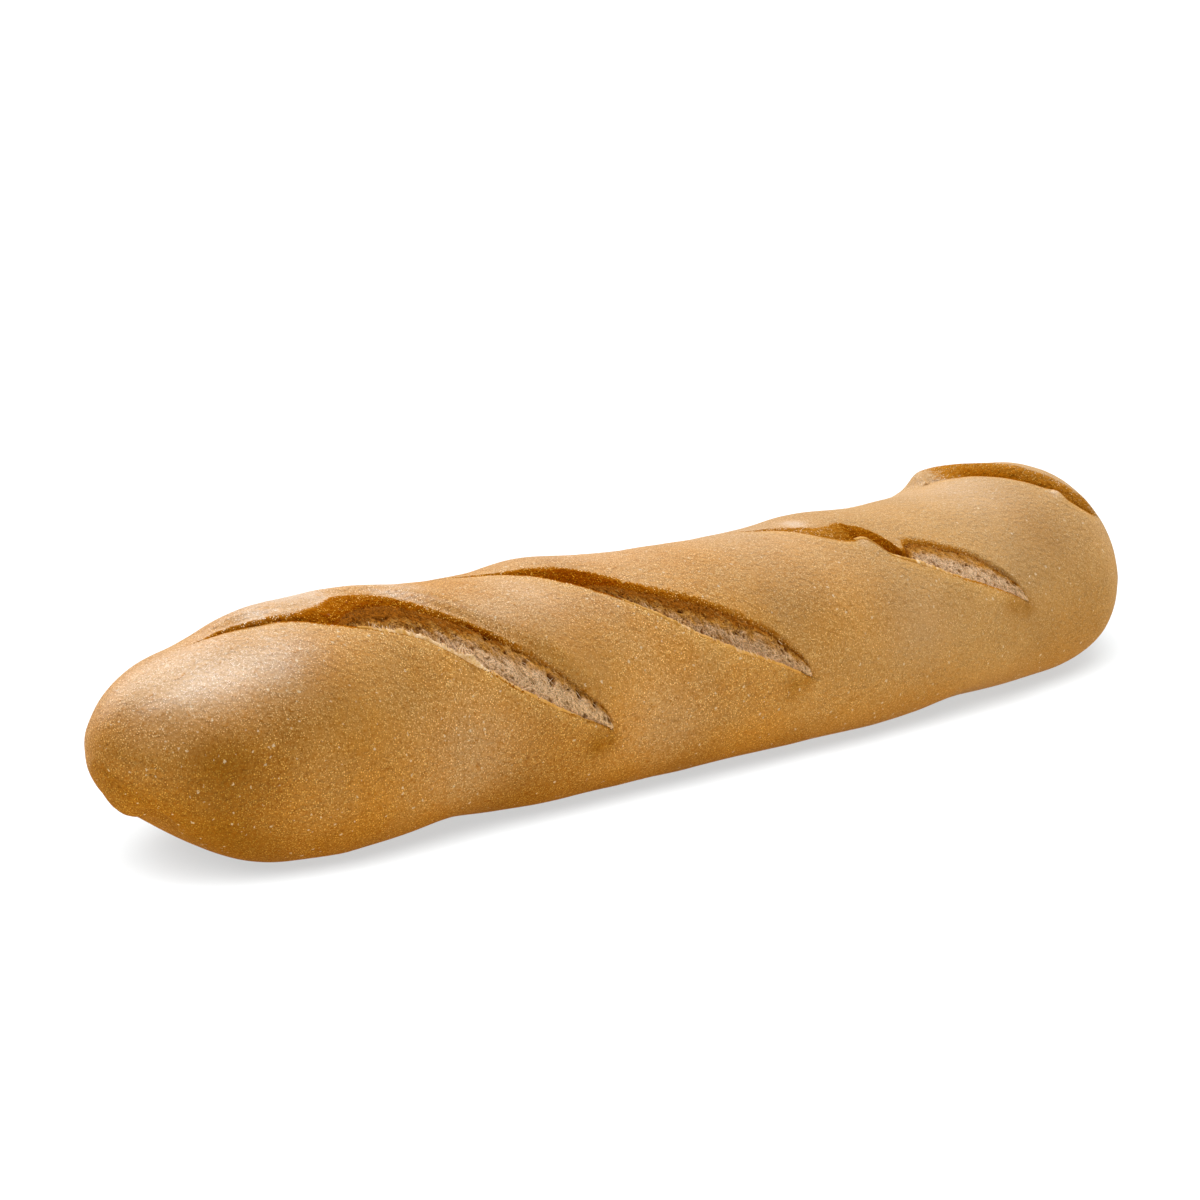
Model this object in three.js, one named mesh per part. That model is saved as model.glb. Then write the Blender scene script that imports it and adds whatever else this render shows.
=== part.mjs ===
// A short, pale-crusted baguette with four slanting scores that opened in the oven.
// Millimetres and degrees. +X runs along the loaf from its tapered end to its blunt end,
// -Y is the side on which the scores open, and +Z is up. The origin is under the middle of
// the loaf's box, on the surface it rests on.
//
// The loaf is one closed skin of rings (across the loaf) and lines (along it). The lines
// twist slowly round the loaf so that each score's lip, hollow floor and rim lie along lines
// of their own. Angles go round the loaf from its crest (0) towards the scored side (+90).
import * as THREE from 'three';
import { mergeVertices } from 'three/addons/utils/BufferGeometryUtils.js';

// ---- Driving dimensions -------------------------------------------------------------
const LENGTH = 326;
const WIDTH = 72;              // of the plain loaf, before lumps and raised lips
const HEIGHT = 50.5;
const SOLE_SINK = 1.0;         // how far baking flattened the underside
const WAIST = 0.425;           // height of the widest line, as a share of the height

// Growth along the loaf, as shares of the width or height; u is -1 and +1 at the ends.
const WIDTH_SLOPE = 0.08;
const HEIGHT_SLOPE = -0.11;
const HEIGHT_CROWN = 0.03;
const HEIGHT_TWIST = 0.035;

// The loaf bows in plan, and both ends lift a little off the surface.
const SPINE_BOW = 5.6;
const SPINE_SWEEP = 17;
const NEAR_LIFT = 3;
const FAR_LIFT = 5.8;

// Ends: the near one tapers over a long nose, the far one is blunt.
const NEAR_NOSE = 56;
const FAR_NOSE = 31;
const NEAR_POWER = 1.5;
const FAR_POWER = 2.3;
const NEAR_TIP = 0.54;         // height of each tip, as a share of the height
const FAR_TIP = 0.38;

// Section: two half superellipses, rounder above than below.
const CROWN_POWER = 1.93;
const SOLE_POWER = 2.7;

// Scores. lip: the torn front edge as [x, angle]; gap: how far it gapes, in degrees, as
// [x, gap]; rise: how far the crust beyond the gap stands up at the slit and at the open
// end; lipRise: the same for the front lip; depth: of the hollow.
const TWIST = 1.05;            // degrees of turn per millimetre beyond a score's ends
const SCORES = [
  {
    lip: [[-134, -12], [-108, 14], [-84, 33], [-75, 48], [-66, 64], [-50, 81], [-37, 93]],
    gap: [[-134, 0], [-127, 3], [-118, 2], [-110, 5], [-102, 13], [-90, 26], [-66, 25.5],
      [-50, 17.5], [-41, 10], [-34, 0]],
    rise: [2.5, 3.5], lipRise: 1.2, depth: 5,
  },
  {
    lip: [[-62, -14], [-50, -5], [-40, 8], [-24, 32], [-4, 60.5], [22, 85.5]],
    gap: [[-62, 0], [-46, 3], [-38, 10.5], [-26, 21], [-18, 19], [-4, 25], [12, 19.5],
      [19, 12], [25, 0]],
    rise: [0.3, 1], lipRise: 1.2, depth: 5,
  },
  {
    lip: [[28, -19], [44, 1], [52, 15], [60, 24], [68, 39], [80, 52.5], [103, 76]],
    gap: [[28, 0], [46, 6], [56, 15], [66, 26.5], [71, 17], [77, 23], [86, 24.5], [96, 17],
      [105, 0]],
    rise: [0, 0.2], lipRise: 0.4, depth: 5,
  },
  {
    lip: [[98, -45], [112, -36.5], [124, -11.5], [133, 16], [141, 42]],
    gap: [[98, 0], [108, 9], [120, 25], [134, 21], [141, 5], [146, 0]],
    rise: [3, 1.6], lipRise: 0, depth: 4,
  },
];
const FULL_GAP = 8;            // gap from which a score has its whole depth
const UNDERCUT = 1.2;          // how far the hollow runs back under the front lip
const FLOOR_POWER = 0.9;       // how evenly the floor climbs from the lip's foot to the rim
const RIM_SHARE = 0.35;        // how much of a score's rise its rim already has
const SHOULDER = 3.4;          // reach of the rounded crust beyond the rim
const RISE_FADE = 1.3;         // how fast the rise dies away towards the next score
const LIP_REACH = 13.6;        // reach of a front lip's rise

// Lumps of the crust: [x, angle, height].
const LUMP_REACH = 13;
const LUMPS = [
  [-145, -42, 1.5], [-122, -27, -0.8], [-45, -22, -0.5], [-33, -20, 1.8], [61, -28, 1.6],
  [127, -42, 2.2], [-150, 178, -2], [-128, 155, 1.3], [-76, 145, -1.7], [52, 140, 0.6],
  [86, 136, -1.2], [125, 128, 0.9],
];

// ---- Fineness -----------------------------------------------------------------------
const RINGS = 100;             // from end to end
const END_CROWDING = 0.5;      // share of the ring spacing that crowds towards the ends
const FLOOR_LINES = 4;         // from a score's lip to its rim
const CRUST_LINES = 8;         // from its rim to the next score's lip
const LEAST_GAP = 6;           // the floor's lines never come closer than this, in degrees

const { clamp, smoothstep, degToRad } = THREE.MathUtils;

// A smooth curve through [x, value] points, straight beyond its ends.
function through(points, x, endSlope) {
  const last = points.length - 1;
  const inside = clamp(x, points[0][0], points[last][0]);
  let i = 0;
  while (i < last - 1 && inside >= points[i + 1][0]) i += 1;
  const rise = (j) => (points[j + 1][1] - points[j][1]) / (points[j + 1][0] - points[j][0]);
  const slope = (j) => {
    if (j === 0 || j === last) return endSlope;
    const before = rise(j - 1);
    const after = rise(j);
    return before * after <= 0 ? 0 : (2 * before * after) / (before + after);
  };
  const span = points[i + 1][0] - points[i][0];
  const t = (inside - points[i][0]) / span;
  const value = points[i][1] * (1 + 2 * t) * (1 - t) ** 2
    + slope(i) * span * t * (1 - t) ** 2
    + points[i + 1][1] * t * t * (3 - 2 * t)
    + slope(i + 1) * span * t * t * (t - 1);
  return value + (x - inside) * endSlope;
}

// The plain loaf's section at x: half width, reach above and below its waist, and where
// the waist's middle is.
function section(x) {
  const u = (2 * x) / LENGTH;
  const fromNear = clamp((x + LENGTH / 2) / NEAR_NOSE, 0, 1);
  const fromFar = clamp((LENGTH / 2 - x) / FAR_NOSE, 0, 1);
  const nearCap = Math.sqrt(1 - (1 - fromNear) ** NEAR_POWER);
  const farCap = Math.sqrt(1 - (1 - fromFar) ** FAR_POWER);
  const cap = nearCap * farCap;
  const height = HEIGHT * (1 + HEIGHT_SLOPE * u + HEIGHT_CROWN * u * u + HEIGHT_TWIST * u ** 3);
  const tips = (NEAR_TIP - WAIST) * (1 - nearCap) + (FAR_TIP - WAIST) * (1 - farCap);
  const waist = height * (WAIST + tips);
  const lift = NEAR_LIFT * clamp((-u - 0.55) / 0.45, 0, 1) ** 2
    + FAR_LIFT * clamp((u - 0.6) / 0.4, 0, 1) ** 2;
  return {
    half: (WIDTH / 2) * (1 + WIDTH_SLOPE * u) * cap,
    above: (height - waist) * cap,
    below: waist * cap,
    y: SPINE_BOW * u * u + SPINE_SWEEP * u ** 3,
    z: waist + lift,
  };
}

const roundPower = (v, power) => Math.sign(v) * Math.abs(v) ** (2 / power);

// A point of the plain loaf, at x and an angle round it in radians.
function plainPoint(x, angle) {
  const at = section(x);
  const up = Math.cos(angle);
  const power = up >= 0 ? CROWN_POWER : SOLE_POWER;
  const reach = up >= 0 ? at.above : at.below;
  return new THREE.Vector3(
    x,
    at.y - at.half * roundPower(Math.sin(angle), power),
    at.z + reach * roundPower(up, power),
  );
}

// The plain loaf's outward direction there.
function outward(x, angle) {
  const limit = LENGTH / 2 - 1e-4;
  const along = plainPoint(clamp(x + 0.5, -limit, limit), angle)
    .sub(plainPoint(clamp(x - 0.5, -limit, limit), angle));
  const round = plainPoint(x, angle + 0.02).sub(plainPoint(x, angle - 0.02));
  return round.cross(along).normalize();
}

// Where a score's lip and rim are at x, and how far its parts stand out or lie in.
function scoreAt(score, x) {
  const start = score.lip[0][0];
  const end = score.lip[score.lip.length - 1][0];
  const along = (x - start) / (end - start);
  const alive = smoothstep(along, -0.02, 0.15) * (1 - smoothstep(along, 0.85, 1.05));
  const gap = Math.max(through(score.gap, clamp(x, score.gap[0][0], score.gap.at(-1)[0]), 0), 0);
  const opened = smoothstep(along, 0.2, 0.6);
  return {
    angle: through(score.lip, x, TWIST),
    gap,
    rise: (score.rise[0] * (1 - opened) + score.rise[1] * opened) * alive,
    lipRise: score.lipRise * smoothstep(along, 0.15, 0.6) * alive,
    depth: score.depth * clamp(gap / FULL_GAP, 0, 1) ** 0.6,
  };
}

// One ring's points as [angle in degrees, height over the plain loaf], lip by lip, going
// down in angle.
function ringPoints(x, mmPerDegree) {
  const here = SCORES.map((score) => scoreAt(score, x));
  const points = [];
  here.forEach((score, k) => {
    const next = here[(k + 1) % here.length];
    const nextAngle = k === here.length - 1 ? next.angle - 360 : next.angle;
    const spread = Math.max(score.gap, LEAST_GAP);
    const crust = score.angle - spread - nextAngle;
    const undercut = (UNDERCUT / mmPerDegree) * clamp(score.gap / FULL_GAP, 0, 1);
    points.push([score.angle, score.lipRise]);
    points.push([score.angle + undercut, -score.depth]);
    for (let i = 1; i <= FLOOR_LINES; i += 1) {
      const share = i / FLOOR_LINES;
      const across = clamp((share * spread) / Math.max(score.gap, 1e-3), 0, 1);
      const floor = -score.depth * (1 - across) ** FLOOR_POWER + RIM_SHARE * score.rise * across;
      points.push([score.angle - share * spread, floor]);
    }
    for (let i = 1; i <= CRUST_LINES; i += 1) {
      const share = i / (CRUST_LINES + 1);
      const fromRim = crust * share * mmPerDegree;
      const toLip = crust * (1 - share) * mmPerDegree;
      const shoulder = RIM_SHARE + (1 - RIM_SHARE) * (1 - Math.exp(-((fromRim / SHOULDER) ** 2)));
      const height = score.rise * shoulder * (1 - share) ** RISE_FADE
        + next.lipRise * Math.exp(-toLip / LIP_REACH) * share;
      points.push([score.angle - spread - crust * share, height]);
    }
  });
  return points;
}

function lumpHeight(x, angle, mmPerDegree) {
  return LUMPS.reduce((sum, [lumpX, lumpAngle, height]) => {
    const turn = THREE.MathUtils.euclideanModulo(angle - lumpAngle + 180, 360) - 180;
    const away = Math.hypot(x - lumpX, turn * mmPerDegree);
    return sum + height * Math.exp(-((away / LUMP_REACH) ** 2));
  }, 0);
}

function loafGeometry() {
  const lines = SCORES.length * (2 + FLOOR_LINES + CRUST_LINES);
  const skin = new THREE.SphereGeometry(1, lines, RINGS);
  const place = skin.attributes.position;
  for (let ring = 0; ring <= RINGS; ring += 1) {
    const v = ring / RINGS;
    const even = 2 * v - 1;
    const x = (LENGTH / 2) * (END_CROWDING * -Math.cos(Math.PI * v) + (1 - END_CROWDING) * even);
    const at = section(x);
    const mmPerDegree = degToRad(Math.max((at.half + (at.above + at.below) / 2) / 2, 1));
    const fade = smoothstep(v, 0, 0.05) * (1 - smoothstep(v, 0.96, 1));
    const points = ringPoints(x, mmPerDegree);
    for (let line = 0; line <= lines; line += 1) {
      const [angle, height] = points[line % lines];
      const lump = lumpHeight(x, angle, mmPerDegree);
      const point = plainPoint(x, degToRad(angle))
        .addScaledVector(outward(x, degToRad(angle)), height * fade + lump);
      const index = ring * (lines + 1) + line;
      place.setXYZ(index, point.x, point.y, Math.max(point.z - SOLE_SINK, 0));
    }
  }
  skin.deleteAttribute('normal');
  skin.deleteAttribute('uv');
  const closed = mergeVertices(skin, 1e-3);
  closed.computeBoundingBox();
  const box = closed.boundingBox;
  closed.translate(-(box.min.x + box.max.x) / 2, -(box.min.y + box.max.y) / 2, -box.min.z);
  closed.computeVertexNormals();
  return closed;
}

const crust = new THREE.MeshStandardMaterial({
  color: new THREE.Color(0xd2a566),
  roughness: 0.7,
  metalness: 0,
});
const loaf = new THREE.Mesh(loafGeometry(), crust);
loaf.name = 'loaf';

const baguette = new THREE.Group();
baguette.add(loaf);

export default baguette;
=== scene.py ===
import math

import bpy
import numpy as np
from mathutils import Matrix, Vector, noise


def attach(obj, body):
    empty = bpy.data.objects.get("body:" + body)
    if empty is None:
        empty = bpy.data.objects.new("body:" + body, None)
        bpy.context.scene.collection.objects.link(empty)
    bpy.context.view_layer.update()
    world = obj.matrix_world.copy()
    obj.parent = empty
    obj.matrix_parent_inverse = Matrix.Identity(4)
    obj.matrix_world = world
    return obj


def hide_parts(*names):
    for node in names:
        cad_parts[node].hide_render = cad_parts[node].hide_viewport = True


# A short, pale-crusted baguette: one crust with four slanting scores, the crumb that shows in
# them, and their torn lips. Sizes are millimetres and degrees. Angles go round the loaf from
# its crest (0) towards the scored side (+90).

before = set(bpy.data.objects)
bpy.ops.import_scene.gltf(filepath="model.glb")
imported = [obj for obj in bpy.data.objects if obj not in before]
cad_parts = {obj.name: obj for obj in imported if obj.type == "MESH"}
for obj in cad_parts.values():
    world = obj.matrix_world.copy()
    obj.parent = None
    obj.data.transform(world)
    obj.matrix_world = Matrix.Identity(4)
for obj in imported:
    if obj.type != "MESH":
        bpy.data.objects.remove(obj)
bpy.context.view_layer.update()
bpy.ops.object.select_all(action="DESELECT")
noise.seed_set(11)

MM = 0.001

# ---- The loaf's sizes ----
LENGTH = 326.0
WIDTH = 72.0
HEIGHT = 50.5
SOLE_SINK = 1.0
WAIST = 0.425
CENTRE_Y = 7.92
WIDTH_SLOPE = 0.08
HEIGHT_SLOPE = -0.11
HEIGHT_CROWN = 0.03
HEIGHT_TWIST = 0.035
SPINE_BOW = 5.6
SPINE_SWEEP = 17.0
NEAR_LIFT = 3.0
NEAR_LIFT_FROM = 0.55  # the share of the way to the tip at which it starts to lift
FAR_LIFT = 5.8
FAR_LIFT_FROM = 0.6
NEAR_NOSE = 56.0
FAR_NOSE = 31.0
NEAR_POWER = 1.5
FAR_POWER = 2.3
NEAR_TIP = 0.54
FAR_TIP = 0.38
CROWN_POWER = 1.93
SOLE_POWER = 2.7

# Scores. lip: the torn front edge as [x, angle]; gap: how far it gapes, in degrees; rise: how
# far the crust beyond it stands up at the slit and at the open end; rim: how much of that the
# rim itself has; reach: how far back from the rim it goes; lip_rise: how far the front lip
# stands up; depth: of the hollow; foot: how much of the gap the browned band takes, from the
# rim down, as [x, share]; brown: how dark that band is; shade_deepens: how much painted shade
# darkens it towards its foot, deep in the hollow; crumb: how brown the crumb beside it is.
TWIST = 1.05  # degrees of turn per millimetre beyond a score's ends
SCORES = [
    {
        "lip": [[-131, -9], [-108, 14], [-96, 25], [-84, 36], [-75, 50.5], [-66, 64], [-50, 81],
                [-39.3, 91]],
        "gap": [[-130, 0], [-126, 2.4], [-118, 1.6], [-110, 4.5], [-102, 13.5], [-92, 28],
                [-84, 29], [-66, 25.5], [-50, 17], [-44.5, 12], [-41.3, 8.5], [-39.3, 0]],
        "rise": [2.5, 3.5], "lip_rise": 1.2, "depth": 5,
        "foot": [[-104, 1], [-97, 0.62], [-88, 0.32], [-80, 0.22], [-70, 0.1], [-40, 0.05]],
        "brown": [[-131, 0.4], [-128, 1], [-119, 0.85], [-104, 0.92], [-82, 1.05], [-72, 0.92],
                  [-67, 1.25], [-61, 0.55], [-48, 0.3], [-34, 0.15]],
        "crumb": [[-100, 1.1], [-86, 1.02], [-77, 0.68], [-68, 0.42], [-58, 0.2], [-36, 0.15]],
    },
    {
        "lip": [[-62, -14], [-50, -5], [-40, 8], [-24, 33.5], [-14, 49.5], [-4, 62], [22, 85.5]],
        "gap": [[-62, 0], [-46, 3], [-38, 10], [-26, 20], [-18, 20.5], [-4, 24.6], [12, 18.3],
                [17.5, 12.5], [20.5, 8], [22.3, 0]],
        "rise": [0.3, 1], "lip_rise": 1.2, "depth": 5,
        "foot": [[-40, 1], [-31, 0.8], [-23, 0.4], [-14, 0.17], [0, 0.12], [16, 0.11]],
        "brown": [[-62, 0.5], [-50, 0.9], [-36, 1.05], [-28, 1.35], [-18, 1], [-6, 0.8],
                  [6, 0.55], [24, 0.35]],
        "crumb": [[-30, 1], [-18, 0.88], [-4, 0.68], [8, 0.48], [22, 0.38]],
    },
    {
        "lip": [[28, -19], [44, 1], [51, 14], [55, 19.5], [61.5, 21.5], [63.4, 33.5], [66, 36.6],
                [70.5, 42], [77, 50.6], [101.3, 74.3]],
        "gap": [[28, 0], [44, 5.2], [49.6, 10.6], [55, 15], [60, 16.6], [61.5, 17.5],
                [63.4, 24.5], [65, 25], [67.3, 17], [68.4, 7], [69.4, 9.5], [71.5, 17], [77, 22],
                [86, 22], [95, 15.5], [99.2, 9.5], [101.3, 0]],
        "rise": [0, 0.2], "lip_rise": 0.4, "depth": 5,
        "foot": [[60, 1], [68, 0.97], [69.6, 0.35], [72, 0.14], [80, 0.09], [100, 0.06]],
        "brown": [[28, 0.3], [44, 0.5], [54, 0.45], [60, 0.7], [62, 0.95], [67, 1], [72, 0.7],
                  [84, 0.5], [104, 0.2]],
        "crumb": [[66, 0.8], [72, 0.42], [84, 0.32], [104, 0.25]],
    },
    {
        "lip": [[115, -24], [119, -19.5], [124, -9.5], [133, 17.5], [141, 43], [147, 49.5]],
        "gap": [[116, 0], [118, 6], [120.5, 14], [124, 24], [128, 27], [134, 24], [138, 18.5],
                [142, 8.5], [145, 3], [146.5, 0]],
        "rise": [2.4, 1.6], "rim": 1, "lip_rise": 0, "depth": 4,
        "foot": [[98, 1], [146, 1]],
        "reach": [[110, 4], [122, 4.5], [128, 6.5], [136, 9], [142, 9]],
        # Painted shade makes this band much darker towards its foot.
        "shade_deepens": 0.6,
        "brown": [[115, 0], [119, 0.1], [122.5, 0.28], [126, 0.6], [129, 0.76], [134, 0.64],
                  [146, 0.52]],
    },
]

# Shares of a score's length over which its relief, lip and brownness come and go, and over
# which it opens.
RELIEF_COMES = (-0.02, 0.15)
RELIEF_GOES = (0.85, 1.05)
LIP_COMES = (0.15, 0.6)
BROWN_COMES = (-0.03, 0.03)
BROWN_GOES = (0.97, 1.05)
OPENS = (0.2, 0.6)
FULL_GAP = 8.0  # gap from which a score has its whole depth
UNDERCUT = 1.2  # how far the hollow runs back under the front lip
RIM_SHARE = 0.35  # how much of the rise the rim itself has, unless a score says
SHOULDER = 3.4  # reach of the rounded crust beyond the rim
RISE_FADE = 1.3  # how fast the rise dies away towards the next score
LIP_REACH = 13.6  # reach of a front lip's rise
BAND_FALL = 0.9  # how far the browned band falls from the rim to its foot
SLIT_FALL = 3.0  # the same where the score is only a slit
BAND_POWER = 1.5
SHADE_DEEPENS = 0.2  # how much painted shade darkens the band from its rim to its foot
RAGGED = [[4, 0.35], [1.5, 0.22]]  # the edges' wandering: [size, how far]
RAGGED_GAP = 6.0  # gap from which the edges wander fully
RAGGED_SHARE = 0.8

# Lumps of the crust: [x, angle, reach, height].
LUMPS = [
    [-145, -42, 13, 1.5], [-122, -27, 13, -0.8], [-45, -22, 13, -0.5], [-33, -20, 13, 1.8],
    [61, -28, 13, 1.6], [127, -42, 13, 2.2], [-150, 178, 13, -2], [-128, 155, 13, 1.3],
    [-76, 145, 13, -1.7], [52, 140, 13, 0.6], [86, 136, 13, -1.2], [125, 128, 13, 0.9],
]

# Small folds and bumps of the skin: [x, angle, reach, height].
DIMPLES = [
    [-157.6, 172, 4, 2], [-153.8, 153, 3.2, -3], [-151.6, 170, 3.5, -1.2],
    [-153, 136, 3.5, -0.7], [-161, 60, 4, 0.5],
    [-153, 45, 5, -0.5], [-133, 62, 6, 0.35], [-120, 8, 4, -0.4], [-112, 40, 5, -0.3],
    [59.6, 23, 1.6, 0.5], [136.8, 29.5, 2.4, 1.1], [105, 48, 7, -0.4], [88, 96, 8, 0.4],
    [20, 100, 9, -0.5], [-15, 104, 8, 0.4],
]
WAVES = [[26, 0.35], [11, 0.22], [5, 0.09]]  # the skin's unevenness: [size, height]
WAVE_STRETCH = 1.4  # along the loaf

# Baking marks on the crust: [x, angle, reach, strength]. The toasted spots are partly painted
# shade, and the pale spots partly painted highlights. The underside is toasted all over, and
# its darkening is also painted shade where it faces down.
UNDERSIDE = (88, 130)  # degrees from the crest over which the toasting and painted shade set in
UNDER_TOAST_AND_SHADE = 0.7  # its strength, halved where the crust is dull
DULL_FROM = (-30, 110)  # x over which the crust grows dull
GOLD_REACH = 1.8  # of the gold beside a lip
# Toasted crust, and painted shade on sides that face away from the light.
TOASTED_AND_SHADED_SPOTS = [
    [-143, 80, 11, 0.85], [-128, 62, 9, 0.4], [-113, 50, 10, 0.35], [-160, 26, 8, 0.4],
    [-141, 122, 13, 0.65], [-113, 100, 14, 0.3], [-60, 113, 14, 0.4], [112, 104, 16, 0.35],
    [-47, 58, 10, 0.15], [40, 49, 14, 0.15], [-159, 95, 9, 0.3],
    [119, 42, 10, 0.3], [128, 96, 12, 0.25], [64, 112, 14, 0.3],
    [-44, 95, 3.6, 0.9], [-40, 94, 2.6, 0.85], [16, 87, 3.8, 0.8], [20.5, 86, 2.6, 0.8],
    [95, 72, 3.8, 0.7], [100, 76, 2.8, 0.7], [139, 22, 3, 0.3],
]
DIM_SPOTS = [
    [-109, 60, 14, 0.6], [-92, 52, 8, 0.4], [-44, 60, 12, 0.8], [18, 50, 12, 0.5],
    [110, 56, 15, 0.6], [-143, 78, 9, 0.5], [-141, 126, 12, 0.6], [62, 62, 12, 0.4],
]
# Paler, floury crust, and painted highlights where light catches the crust.
PALE_AND_HIGHLIGHT_SPOTS = [
    [-138, 20, 14, 0.8], [-112, 5, 14, 0.5], [-122, 30, 10, 0.4], [-20, 5, 26, 0.25],
    [35, 0, 22, 0.2], [115, 0, 16, 0.3], [60, 75, 12, 0.2],
    [-117, 1, 2.6, 0.8], [-118.9, 18, 1, 0.9], [50.9, -4, 2.8, 0.95], [-103, -14, 9, 0.8],
    [59.4, 24, 1.6, 0.4], [136.8, 29, 2, 0.9], [-150, 10, 9, 0.4],
    [-80, 6, 8, 0.5], [-45, 20, 10, 0.4], [-98, 0, 7, 0.6], [-62, 32, 9, 0.35],
    [-79, 92, 15, 0.3], [-24, 96, 14, 0.2],
]

# Pores of the crumb: [x, angle, reach along, reach across, depth].
PORES = [
    [-54.9, 64.2, 1.1, 2, 2], [-60.2, 55.1, 0.7, 0.8, 1.2], [-64.1, 49.7, 0.6, 0.7, 1],
    [-60.1, 49.2, 1.5, 0.9, 1.3], [-48.2, 71.9, 0.8, 1.8, 1.6], [-44.2, 77.7, 0.7, 1.2, 1.4],
    [-47.5, 82, 0.7, 0.8, 1.2], [-66.6, 41.6, 1.4, 0.8, 1], [-82, 31, 1.6, 0.6, 0.5],
    [-88, 22, 1.2, 0.5, 0.5], [13.9, 66, 0.6, 0.9, 1.2], [14, 70.4, 0.6, 0.9, 1.2],
    [15.3, 69.5, 0.7, 1, 1.2], [2, 58, 0.9, 0.6, 1], [-10, 44, 1.1, 0.7, 1],
    [85.2, 47.9, 0.6, 0.6, 1], [92.3, 56.8, 0.6, 0.7, 1], [96, 62, 0.5, 0.6, 0.9],
]

# The torn lips: how ragged each is, as [x, height]; where bits stand up, as [x, reach, height];
# and how the torn threads lie.
RAGS = [
    [[-97, 0], [-92, 0.5], [-87, 0.7], [-82, 0.85], [-73, 0.85], [-68, 0.5], [-60, 0.35],
     [-52, 0.2], [-45, 0]],
    [[-24, 0], [-18, 0.35], [-6, 0.45], [4, 0.3], [12, 0.15], [18, 0]],
    [[58, 0], [60, 0.4], [63, 0.1], [68, 0.2], [70, 0.7], [73, 0.5], [80, 0.35], [90, 0.15],
     [96, 0]],
]
LIP_PEAKS = [[[-75.2, 0.9, 1.9], [-73.6, 0.5, 0.9], [-88, 0.5, 0.6]], [], [[59.5, 1.2, 0.25]]]
RAG_STEP = 0.18
THREADS = [[-97, -42, 420], [-22, 20, 240], [71, 101, 90]]  # [first x, last x, how many]
LIP_HAIRS = [[-95, -70, 70], [-20, 10, 26], [71, 92, 16]]  # the same, along the lips
THREAD_SIDES = 4
THREAD_SECTIONS = 5
THREAD_LIFT = 0.1  # of a thread's ends, off the crumb
BRIDGE_GOLD = 0.1
BRIDGES = [  # torn bits over the crumb: ends as [x, angle, height], thickness
    [[-76.8, 46, 1.2], [-74.9, 43.5, 1.8], 0.14], [[-73.9, 50.5, 1], [-74.7, 44, 1.7], 0.12],
    [[-76.5, 48, 0.9], [-74.9, 44.5, 1.3], 0.12], [[-75.2, 50, 0.9], [-74.7, 44.5, 1.3], 0.10],
    [[-55.6, 62, 0.1], [-54, 66.8, 0.1], 0.08], [[-56, 65.5, 0.1], [-53.6, 63.2, 0.2], 0.07],
    [[-48.9, 70, 0.2], [-47.6, 74.2, 0.1], 0.08], [[-45, 76.3, 0.1], [-43.6, 79.2, 0.1], 0.07],
    [[-60.8, 54.3, 0.2], [-59.6, 55.9, 0.2], 0.06], [[13.5, 65, 0.2], [14.5, 67.2, 0.1], 0.07],
]

# Where flour clings: [x, angle, reach, strength].
FLOURED = [
    [-58, 12, 14, 0.8], [-20, 30, 16, 0.5], [-118, 28, 9, 0.8], [-150, 40, 14, 0.6],
    [22, 8, 16, 0.4], [-80, 62, 12, 0.4], [-96, 22, 10, 0.4], [90, 66, 12, 0.3],
    [-140, 110, 22, 0.3],
]

# ---- The camera and the fineness ----
CAMERA_TURN = -39.0
CAMERA_RISE = 14.6
CAMERA_AWAY = 933.2
CAMERA_AIM = (-11.35, 37.47)
CAMERA_LENS = 114.0
STUDIO_REACH = 6.0  # of the floor and the backdrop, in metres
COOL = (0.93, 0.97, 1.0)
WARM = (1.0, 0.97, 0.93)
LAMPS = [  # name, degrees round and up, strength, breadth in degrees, colour
    ["top_box", 130, 76, 1.8, 36, COOL], ["back_box", 172, 30, 0.6, 40, COOL],
    ["front_box", 32, 8, 0.24, 40, WARM], ["table_glow", 12, -25, 0.38, 60, WARM],
]
FLOOR_LAMP = ["floor_box", -52, 52, 10.4, 52, (1.0, 1.0, 1.0)]
SKY_TOWARD = (0.2, 0.55, 0.8)  # where the sky is brightest
SKY_FROM = -0.35  # cosine of the turn from there at which it is darkest
SKY_DARK = 0.05
SKY_BRIGHT = 1.15

RINGS = 545  # from end to end
END_CROWDING = 0.45  # share of their spacing that crowds towards the ends
WALL_STEPS = 3  # lines from a lip down its hollow's wall
FLOOR_STEPS = 6  # over the half of the gap beside it
BAND_STEPS = 9  # over the other half
CRUST_STEPS = 26  # from the rim to the next score's lip
EDGE_CROWDING = 0.45  # share of their spacing that crowds towards rim and lip
LEAST_GAP = 6.0  # the gap's lines never come closer than in this one, in degrees
FAR_AWAY = 99.0
CRUMB_CELL = 0.17  # spacing of the crumb's grid
CRUMB_TUCK = 1.0  # how far the crumb runs on under the lip and the band
CRUMB_DROP = 0.7  # from the lip's edge down to the crumb, where it is pale
BROWN_DROP = 1.6  # how much more where it is brown
CRUMB_BULGE = 0.6
CLOSING_RISE = 0.6  # how far the crumb rises towards a score's open end
END_DROP = 1.6  # how far it drops out of sight at both ends
CRUMB_DEPTH = 2.0
WEB_SIZE = (0.7, 1.1, 1)  # of the web's cells, along and across the score
STRAND_SIZE = (0.42, 2.6, 1)
SMALL_PORE_SIZE = (1.7, 2.3, 1)
SMALL_PORE_DEPTH = 0.8
WEB_HEIGHT = (0.26, 0.4)  # of pale crumb, and how much more where it is brown
WEB_CONTRAST = (0.72, 0.55)  # the same for the painted shade between the web
CRUMB_ROUGH = 0.16
FRAYED = 0.4  # how far the crumb has torn away from the band, at most


# ---- Numbers ----
def smooth(value, low, high):
    t = np.clip((value - low) / (high - low), 0.0, 1.0)
    return t * t * (3.0 - 2.0 * t)


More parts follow.
